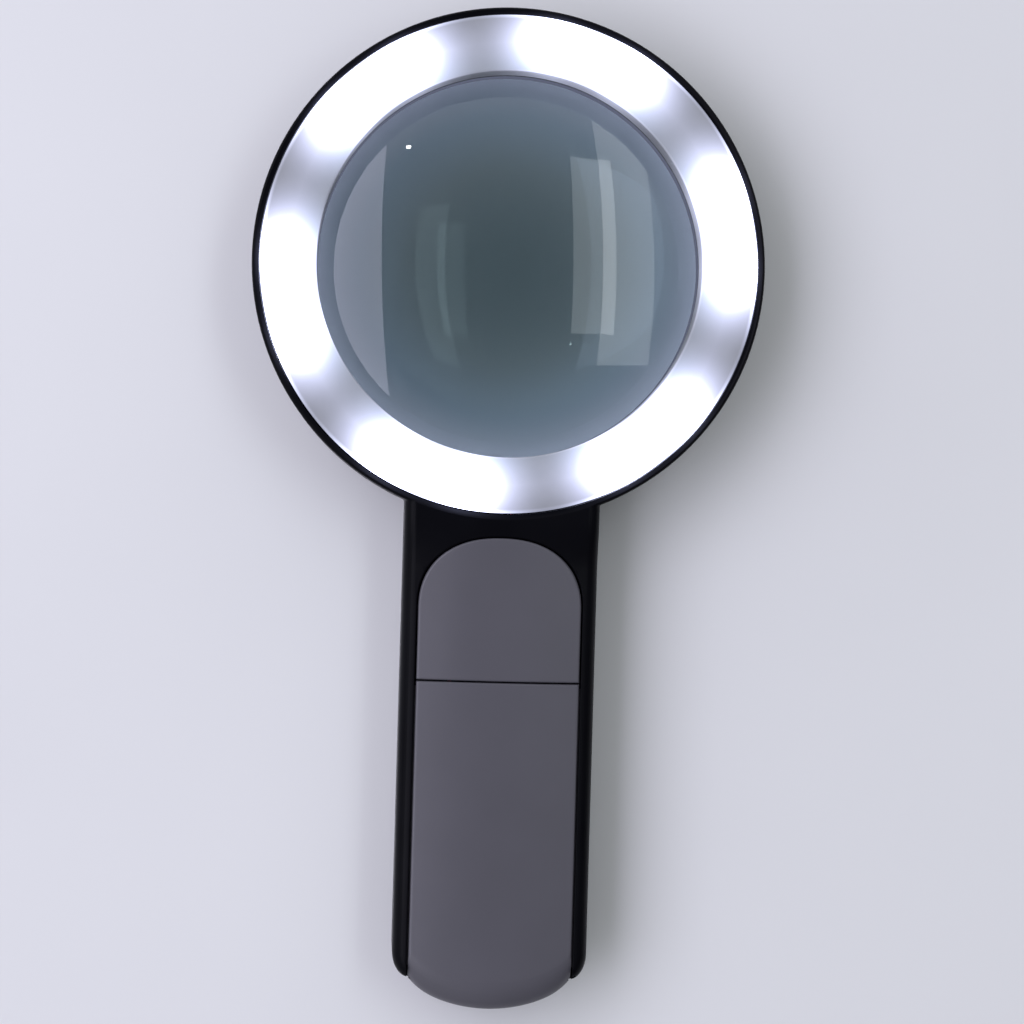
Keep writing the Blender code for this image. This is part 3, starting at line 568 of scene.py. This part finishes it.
# ---------------------------------------------------------------- materials
class Nodes:
    """Short calls for the few nodes that the materials share."""

    def __init__(self, name):
        self.material = bpy.data.materials.new(name)
        self.material.use_nodes = True
        self.tree = self.material.node_tree
        self.shader = self.tree.nodes["Principled BSDF"]
        self.output = self.tree.nodes["Material Output"]
        self.place = self.add("ShaderNodeTexCoord").outputs["Object"]

    def add(self, kind, **settings):
        node = self.tree.nodes.new(kind)
        for key, value in settings.items():
            setattr(node, key, value)
        return node

    def link(self, source, target):
        self.tree.links.new(source, target)

    def noise(self, scale, detail=3.0):
        node = self.add("ShaderNodeTexNoise")
        node.inputs["Scale"].default_value = scale
        node.inputs["Detail"].default_value = detail
        self.link(self.place, node.inputs["Vector"])
        return node.outputs["Fac"]

    def remap(self, source, low, high, to_low, to_high):
        node = self.add("ShaderNodeMapRange")
        for key, value in (("From Min", low), ("From Max", high), ("To Min", to_low), ("To Max", to_high)):
            node.inputs[key].default_value = value
        self.link(source, node.inputs["Value"])
        return node.outputs["Result"]

    def ramp(self, source, stops, interpolation="LINEAR"):
        node = self.add("ShaderNodeValToRGB")
        node.color_ramp.interpolation = interpolation
        elements = node.color_ramp.elements
        while len(elements) < len(stops):
            elements.new(0.5)
        for element, (position, colour) in zip(elements, stops):
            element.position = position
            element.color = (*colour, 1)
        self.link(source, node.inputs["Fac"])
        return node.outputs["Color"]

    def maths(self, operation, first, second=None):
        node = self.add("ShaderNodeMath", operation=operation)
        for socket, value in zip(node.inputs, (first, second)):
            if value is None:
                continue
            if isinstance(value, (int, float)):
                socket.default_value = value
            else:
                self.link(value, socket)
        return node.outputs["Value"]

    def bell(self, distance, width):
        """A smooth bump of height 1 over a distance."""
        squared = self.maths("MULTIPLY", distance, distance)
        return self.maths("EXPONENT", self.maths("MULTIPLY", squared, -0.5 / width**2))

    def bump(self, height, distance):
        """Raises the surface by up to distance, in metres."""
        node = self.add("ShaderNodeBump")
        node.inputs["Strength"].default_value = 1.0
        node.inputs["Distance"].default_value = distance
        self.link(height, node.inputs["Height"])
        self.link(node.outputs["Normal"], self.shader.inputs["Normal"])

    def colour(self, source):
        self.link(source, self.shader.inputs["Base Color"])

    def rough(self, source):
        self.link(source, self.shader.inputs["Roughness"])

    def set(self, **values):
        for key, value in values.items():
            self.shader.inputs[key.replace("_", " ")].default_value = value


def moulded(name, dark, light, roughness, grain=0.000004, grain_scale=4200, shine=0.5):
    """Moulded plastic: a fine even grain, faint mottling, and patches a little glossier from handling."""
    n = Nodes(name)
    n.set(Specular_IOR_Level=shine)
    mottle = n.noise(70, 4)
    n.colour(n.ramp(n.remap(mottle, 0.3, 0.7, 0, 1), [(0, dark), (1, light)]))
    handled = n.noise(24, 3)
    n.rough(n.remap(handled, 0.3, 0.7, roughness - 0.04, roughness + 0.05))
    n.bump(n.noise(grain_scale, 2), grain)
    return n.material


def lit_ring():
    """Milky plastic with a glow round each lit light: the dark ones leave grey-lavender patches."""
    n = Nodes("lit_diffuser_plastic")
    parts = n.add("ShaderNodeSeparateXYZ")
    n.link(n.place, parts.inputs["Vector"])
    x, y, z = parts.outputs["X"], n.maths("SUBTRACT", parts.outputs["Y"], HEAD_Y), parts.outputs["Z"]
    radius = n.maths("SQRT", n.maths("ADD", n.maths("MULTIPLY", x, x), n.maths("MULTIPLY", y, y)))
    turn = n.maths("ADD", n.maths("ARCTAN2", y, x), math.radians(360 - DARK_LED))
    from_dark = n.maths("PINGPONG", turn, math.radians(1.5 * LED_STEP))
    spot = n.add("ShaderNodeCombineXYZ")
    n.link(n.maths("MULTIPLY", radius, n.maths("COSINE", from_dark)), spot.inputs["X"])
    n.link(n.maths("MULTIPLY", radius, n.maths("SINE", from_dark)), spot.inputs["Y"])
    wide, core = 0.0, 0.0
    for step in (-1, 1, 2):
        angle = math.radians(step * LED_STEP)
        apart = n.add("ShaderNodeVectorMath", operation="DISTANCE")
        n.link(spot.outputs["Vector"], apart.inputs[0])
        apart.inputs[1].default_value = (LED_RING * math.cos(angle), LED_RING * math.sin(angle), 0)
        wide = n.maths("ADD", n.bell(apart.outputs["Value"], 0.0070), wide)
        core = n.maths("ADD", n.bell(apart.outputs["Value"], 0.0030), core)
    glow = n.add("ShaderNodeVectorMath", operation="MULTIPLY_ADD")
    amount = n.add("ShaderNodeCombineXYZ")
    for socket, tint in zip(amount.inputs, (0.162, 0.172, 0.244)):
        n.link(n.maths("ADD", n.maths("MULTIPLY", wide, tint), n.maths("MULTIPLY", core, tint * 4.8)), socket)
    n.link(amount.outputs["Vector"], glow.inputs[0])
    across = n.remap(radius, APERTURE, RING_HIGH.x, 0, 1)
    band = [
        (0.0, (1.0, 1.0, 0.95)), (0.035, (0.75, 0.80, 0.80)), (0.50, (1, 1, 1)),
        (0.93, (0.72, 0.71, 0.72)), (0.985, (1.5, 1.5, 1.5)),
    ]
    n.link(n.ramp(across, band), glow.inputs[1])
    glow.inputs[2].default_value = (0.004, 0.004, 0.004)
    outer_half = n.maths("GREATER_THAN", radius, LED_RING)
    height = n.maths("MAXIMUM", n.remap(z, LIP_Z, RING_HIGH.z, 0, 1), outer_half)
    depth = n.ramp(height, [
        (0.0, (0.20, 0.20, 0.20)), (0.60, (0.26, 0.26, 0.26)),
        (0.90, (0.36, 0.36, 0.36)), (0.97, (1, 1, 1)),
    ])
    shown = n.add("ShaderNodeVectorMath", operation="MULTIPLY")
    n.link(glow.outputs["Vector"], shown.inputs[0])
    n.link(depth, shown.inputs[1])
    n.link(shown.outputs["Vector"], n.shader.inputs["Emission Color"])
    n.set(Emission_Strength=GLOW_PEAK, IOR=1.46)
    n.colour(n.ramp(n.noise(300, 3), [(0.3, (0.15, 0.155, 0.16)), (0.7, (0.17, 0.175, 0.18))]))
    n.rough(n.remap(n.noise(900, 2), 0.3, 0.7, 0.38, 0.48))
    n.bump(n.noise(2500, 2), 0.000004)
    return n.material


def lens_glass():
    """Thick glass with a smoky tint, darkest in its thick middle, with a painted glow of the ring's light
    round its edge.
    """
    n = Nodes("lens_glass")
    from_axis = n.add("ShaderNodeVectorMath", operation="MULTIPLY_ADD")
    n.link(n.place, from_axis.inputs[0])
    from_axis.inputs[1].default_value = (1, 1, 0)
    from_axis.inputs[2].default_value = (0, -HEAD_Y, 0)
    radius = n.add("ShaderNodeVectorMath", operation="LENGTH")
    n.link(from_axis.outputs["Vector"], radius.inputs[0])
    # Painted glow: emission that rises towards the lens's rim stands in for the ring's light caught in the
    # glass's edge
    painted_ring_glow = n.ramp(n.remap(radius.outputs["Value"], 0, LENS_HIGH.x, 0, 1), [
        (0.50, (0, 0, 0)), (0.76, (0.004, 0.010, 0.022)),
        (0.90, (0.030, 0.034, 0.052)), (1.0, (0.075, 0.080, 0.115)),
    ])
    n.link(painted_ring_glow, n.shader.inputs["Emission Color"])
    n.set(Emission_Strength=1.0)
    n.set(Base_Color=(0.86, 0.95, 0.985, 1), Transmission_Weight=1.0, IOR=1.52)
    n.rough(n.remap(n.noise(60, 3), 0.35, 0.75, 0.0, 0.012))
    body = n.add("ShaderNodeVolumeAbsorption")
    body.inputs["Color"].default_value = (0.45, 0.51, 0.505, 1)
    body.inputs["Density"].default_value = 100.0
    n.link(body.outputs["Volume"], n.output.inputs["Volume"])
    return n.material


def metal(name, colour, roughness):
    n = Nodes(name)
    n.set(Metallic=1.0)
    streaks = n.noise(900, 3)
    dim = tuple(0.8 * c for c in colour)
    n.colour(n.ramp(streaks, [(0.35, dim), (0.65, colour)]))
    n.rough(n.remap(streaks, 0.3, 0.7, roughness - 0.05, roughness + 0.08))
    n.bump(streaks, 0.000003)
    return n.material


def circuit_board(name, mask, edge):
    """Solder mask with the faint lines of tracks under it."""
    n = Nodes(name)
    cells = n.add("ShaderNodeTexVoronoi", distance="MANHATTAN", feature="F1")
    cells.inputs["Scale"].default_value = 700
    n.link(n.place, cells.inputs["Vector"])
    n.colour(n.ramp(cells.outputs["Distance"], [(0.45, mask), (0.55, edge)]))
    n.rough(n.remap(n.noise(400), 0.3, 0.7, 0.25, 0.4))
    n.bump(cells.outputs["Distance"], 0.00001)
    return n.material


def led_package(name, rim, middle, glow):
    """A white package with a bright or yellow phosphor face on top."""
    n = Nodes(name)
    face = n.noise(1500, 2)
    n.colour(n.ramp(face, [(0.35, rim), (0.65, middle)]))
    n.rough(n.remap(face, 0.3, 0.7, 0.25, 0.4))
    n.set(Emission_Color=(*middle, 1), Emission_Strength=glow)
    return n.material


def cell_sleeve():
    """A plain printed sleeve: a dark body between coppery bands, a fine line, bare metal at both ends."""
    n = Nodes("battery_sleeve")
    low, high = span("battery_2")
    parts = n.add("ShaderNodeSeparateXYZ")
    n.link(n.place, parts.inputs["Vector"])
    along = n.remap(parts.outputs["Y"], low.y, high.y, 0, 1)
    body, copper, steel = (0.02, 0.028, 0.05), (0.62, 0.27, 0.10), (0.60, 0.60, 0.60)
    bands = n.ramp(along, [
        (0.0, steel), (0.035, copper), (0.24, body), (0.255, (0.55, 0.56, 0.6)), (0.27, body),
        (0.76, copper), (0.965, steel),
    ], "CONSTANT")
    n.colour(bands)
    n.rough(n.remap(n.noise(500), 0.3, 0.7, 0.22, 0.32))
    n.set(Metallic=0.85)
    n.bump(n.noise(1200, 2), 0.000003)
    return n.material


def insulation(name, colour):
    return moulded(name, tuple(0.8 * c for c in colour), colour, 0.42, grain=0.000003, grain_scale=3000)


LOOKS = {
    "black_plastic": moulded(
        "black_moulded_plastic", (0.0023, 0.0023, 0.0036), (0.0034, 0.0034, 0.0050), 0.33,
        grain=0.0000025, shine=0.045,
    ),
    "grey_plastic": moulded(
        "grey_moulded_plastic", (0.080, 0.0770, 0.093), (0.086, 0.0825, 0.100), 0.42,
    ),
    "diffuser_plastic": lit_ring(),
    "lens_glass": lens_glass(),
    "retaining_ring_plastic": moulded("seat_ring_plastic", (0.04, 0.042, 0.05), (0.05, 0.052, 0.06), 0.3),
    "button_plastic": moulded("button_moulded_plastic", (0.016, 0.016, 0.019), (0.022, 0.022, 0.026), 0.42),
    "switch_plastic": moulded("switch_moulded_plastic", (0.01, 0.01, 0.011), (0.015, 0.015, 0.017), 0.5),
    "chip_plastic": moulded("chip_epoxy", (0.008, 0.008, 0.009), (0.012, 0.012, 0.013), 0.55),
    "tray_plastic": moulded("tray_moulded_plastic", (0.012, 0.012, 0.014), (0.017, 0.017, 0.019), 0.5),
    "led_circuit_board": circuit_board("white_circuit_board", (0.75, 0.77, 0.75), (0.68, 0.70, 0.68)),
    "control_circuit_board": circuit_board("green_circuit_board", (0.012, 0.12, 0.05), (0.02, 0.18, 0.08)),
    "battery_sleeve": cell_sleeve(),
    "spring_steel": metal("spring_steel", (0.62, 0.61, 0.58), 0.25),
    "nickel_plate": metal("nickel_plate", (0.66, 0.64, 0.60), 0.28),
    "screw_steel": metal("screw_steel", (0.42, 0.42, 0.43), 0.35),
    "cool_led": led_package("cool_led", (0.85, 0.87, 0.90), (0.95, 0.97, 1.0), 6.0),
    "warm_led": led_package("warm_led", (0.85, 0.86, 0.80), (0.85, 0.66, 0.22), 0.0),
    "red_wire_insulation": insulation("red_wire_insulation", (0.50, 0.02, 0.02)),
    "black_wire_insulation": insulation("black_wire_insulation", (0.012, 0.012, 0.012)),
    "white_wire_insulation": insulation("white_wire_insulation", (0.75, 0.75, 0.75)),
}
SLOT_OF = {part["node"]: part["material_slot"] for part in frame["record"]["subparts"]}


def dress(piece, slot_name):
    piece.data.materials.clear()
    piece.data.materials.append(LOOKS[slot_name])


def stand_for(piece, node, body="housing"):
    """The piece takes the node's place, body and finish."""
    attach(piece, body)
    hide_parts(node)
    dress(piece, SLOT_OF[node])


for node_name, node_object in frame["nodes"].items():
    dress(node_object, SLOT_OF[node_name])

stand_for(make_front_casing(), "front_shell")
stand_for(make_back_casing(), "back_shell")
stand_for(make_light_ring(), "diffuser_ring")
stand_for(make_lens(), "lens")
stand_for(make_seat_ring(), "lens_retaining_ring")
stand_for(make_arch_panel(), "front_panel")
stand_for(make_battery_lid(), "battery_cover", "battery_cover")
stand_for(make_back_plate(), "back_panel")
stand_for(make_button(), "power_button", "power_button")
for number in (1, 2, 3):
    stand_for(make_cell(number), f"battery_{number}")
    stand_for(make_spring(number), f"battery_spring_{number}")


# ---------------------------------------------------------------- floor, light and camera
def make_floor():
    bm = bmesh.new()
    below = Matrix.Translation((0, 0, -0.0002))
    bmesh.ops.create_grid(bm, x_segments=1, y_segments=1, size=3, matrix=below)
    floor = finished("floor", bm)
    n = Nodes("pale_floor")
    n.colour(n.ramp(n.noise(6, 3), [(0.3, (0.74, 0.74, 0.75)), (0.7, (0.78, 0.78, 0.79))]))
    n.rough(n.remap(n.noise(40), 0.3, 0.7, 0.75, 0.85))
    floor.data.materials.append(n.material)


def area_light(name, radiance, width, length, matrix, colour=(1, 1, 1)):
    """A rectangular light, as bright as radiance says whatever its size."""
    light = bpy.data.lights.new(name, "AREA")
    light.shape, light.size, light.size_y, light.color = "RECTANGLE", width, length, colour
    light.energy = radiance * math.pi * width * length
    made = bpy.data.objects.new(name, light)
    made.matrix_world = matrix
    made.visible_camera = False
    bpy.context.scene.collection.objects.link(made)


def hung(name, radiance, x_span, y_span, colour=(1, 1, 1), turn=0, height=1.0):
    """A softbox hung level over the table, between two sides and two ends, then turned by some degrees."""
    middle = Matrix.Translation((sum(x_span) / 2, sum(y_span) / 2, height))
    width, length = x_span[1] - x_span[0], y_span[1] - y_span[0]
    turned_by = Matrix.Rotation(math.radians(turn), 4, "Z")
    area_light(name, radiance, width, length, middle @ turned_by, colour)


def make_world():
    """A pale dome: brightest to the left and past the head, dark overhead, dimmer round the horizon."""
    world = bpy.data.worlds.new("studio")
    bpy.context.scene.world = world
    world.use_nodes = True
    tree = world.node_tree
    place = tree.nodes.new("ShaderNodeTexCoord")
    parts = tree.nodes.new("ShaderNodeSeparateXYZ")
    ramp = tree.nodes.new("ShaderNodeValToRGB")
    shades = [
        (0.0, 0.32), (0.25, 0.42), (0.45, 0.56), (0.80, 0.56), (0.91, 0.26), (0.97, 0.08), (1.0, 0.02),
    ]
    while len(ramp.color_ramp.elements) < len(shades):
        ramp.color_ramp.elements.new(0.5)
    for element, (position, shade) in zip(ramp.color_ramp.elements, shades):
        element.position, element.color = position, (shade, shade * 1.02, shade * 1.06, 1)
    tree.links.new(place.outputs["Generated"], parts.inputs["Vector"])
    tree.links.new(parts.outputs["Z"], ramp.inputs["Fac"])
    side = tree.nodes.new("ShaderNodeVectorMath")
    side.operation = "DOT_PRODUCT"
    side.inputs[1].default_value = (-0.70, 0.50, 0)
    strength = tree.nodes.new("ShaderNodeMath")
    strength.operation, strength.inputs[1].default_value = "ADD", 1.0
    tree.links.new(place.outputs["Generated"], side.inputs[0])
    tree.links.new(side.outputs["Value"], strength.inputs[0])
    tree.links.new(strength.outputs["Value"], tree.nodes["Background"].inputs["Strength"])
    tree.links.new(ramp.outputs["Color"], tree.nodes["Background"].inputs["Color"])


def make_camera():
    """Straight above, a little to the left, with the magnifier leaning a degree or two to the right."""
    distance, view_width, lean, left = 0.480, 0.2087, 1.65, 3.5
    target = Vector((0.0018, -0.00048, TOP_Z))
    camera = bpy.data.cameras.new("camera")
    camera.sensor_width = 36
    camera.lens = 36 * distance / view_width
    made = bpy.data.objects.new("camera", camera)
    back = Vector((-math.sin(math.radians(left)), 0, math.cos(math.radians(left))))
    up = Vector((-math.sin(math.radians(lean)), math.cos(math.radians(lean)), 0))
    right = up.cross(back).normalized()
    up = back.cross(right)
    turn = Matrix((right, up, back)).transposed().to_4x4()
    made.matrix_world = Matrix.Translation(target + back * distance) @ turn
    bpy.context.scene.collection.objects.link(made)
    bpy.context.scene.camera = made


make_floor()
hung("left_softbox", 2.9, (-1.60, -0.412), (-0.62, 0.92), (0.84, 0.82, 1.0), turn=3)
hung("right_softbox", 1.9, (0.40, 0.635), (-0.20, 0.93), (0.90, 0.96, 1.0))
hung("right_softbox_inner", 1.7, (0.286, 0.40), (-0.08, 0.60), (0.88, 0.96, 1.0))
hung("right_softbox_seam", 2.7, (0.40, 0.455), (-0.08, 0.60), (0.90, 0.96, 1.0), height=0.99)
hung("small_lamp", 38.0, (-0.352, -0.334), (0.617, 0.635))
make_world()
make_camera()
bpy.context.scene.view_settings.view_transform = "Standard"
